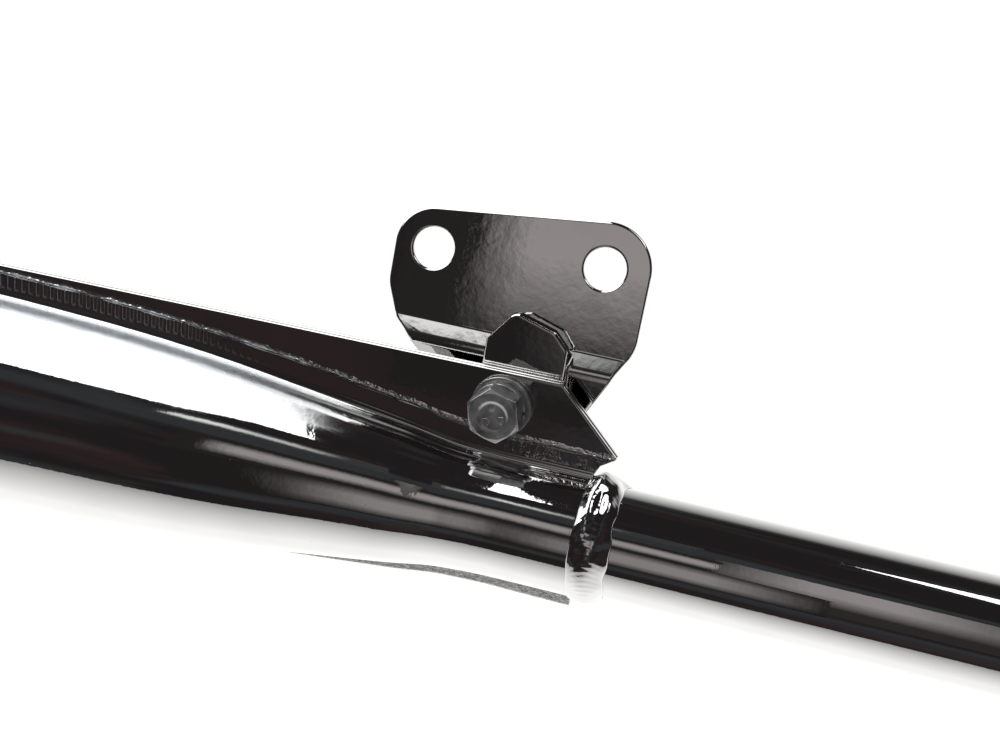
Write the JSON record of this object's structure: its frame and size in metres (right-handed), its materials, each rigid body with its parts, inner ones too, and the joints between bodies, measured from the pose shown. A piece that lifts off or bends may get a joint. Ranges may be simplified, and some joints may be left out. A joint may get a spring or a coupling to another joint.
{
  "type": "motorcycle exhaust muffler",
  "caption": "Chrome moped exhaust: header pipe welded to a seam-flanged two-shell muffler, with a bolted frame bracket and a draw-out silencer insert.",
  "frame": {"origin": "middle of the header flange's mating face", "axes": "+Z out of the header flange towards the cylinder, +X from the muffler towards the header, -Y the outer side of the machine"},
  "size_m": [0.7391, 0.066, 0.1287],
  "materials": {
    "chrome": "mirror polished plating",
    "zinc": "zinc-plated, slightly dull",
    "bare_steel": "plain sheet steel"
  },
  "bodies": {
    "muffler": {"outer_half_shell": "chrome", "inner_half_shell": "chrome", "header_pipe": "chrome", "neck_weld": "chrome", "header_flange": "chrome", "header_flange_weld": "chrome", "mounting_ear": "chrome", "tail_pipe": "chrome", "tail_weld": "chrome", "screw_boss": "chrome", "bracket_bolt": "zinc", "bolt_spring_washer": "zinc", "bolt_washer": "zinc", "nut_washer": "zinc", "bracket_nut": "zinc", "retaining_screw": "zinc", "inlet_diffuser": "bare_steel", "front_baffle": "bare_steel", "middle_baffle": "bare_steel", "rear_baffle": "bare_steel", "front_transfer_tube": "bare_steel", "rear_transfer_tube": "bare_steel"},
    "bracket": {"mounting_bracket": "chrome"},
    "silencer_insert": {"silencer_tube": "bare_steel", "silencer_front_disc": "bare_steel", "silencer_end_ring": "zinc"}
  },
  "joints": [
    {"name": "bracket_swing", "type": "hinge", "parent": "muffler", "child": "bracket", "pos_m": [-0.2423, 0.00655, -0.0631], "axis": [0, 1, 0], "range_deg": [-20, 20]},
    {"name": "silencer_slide", "type": "slide", "parent": "muffler", "child": "silencer_insert", "axis": [-1, 0, 0], "range_m": [0, 0.12]}
  ]
}
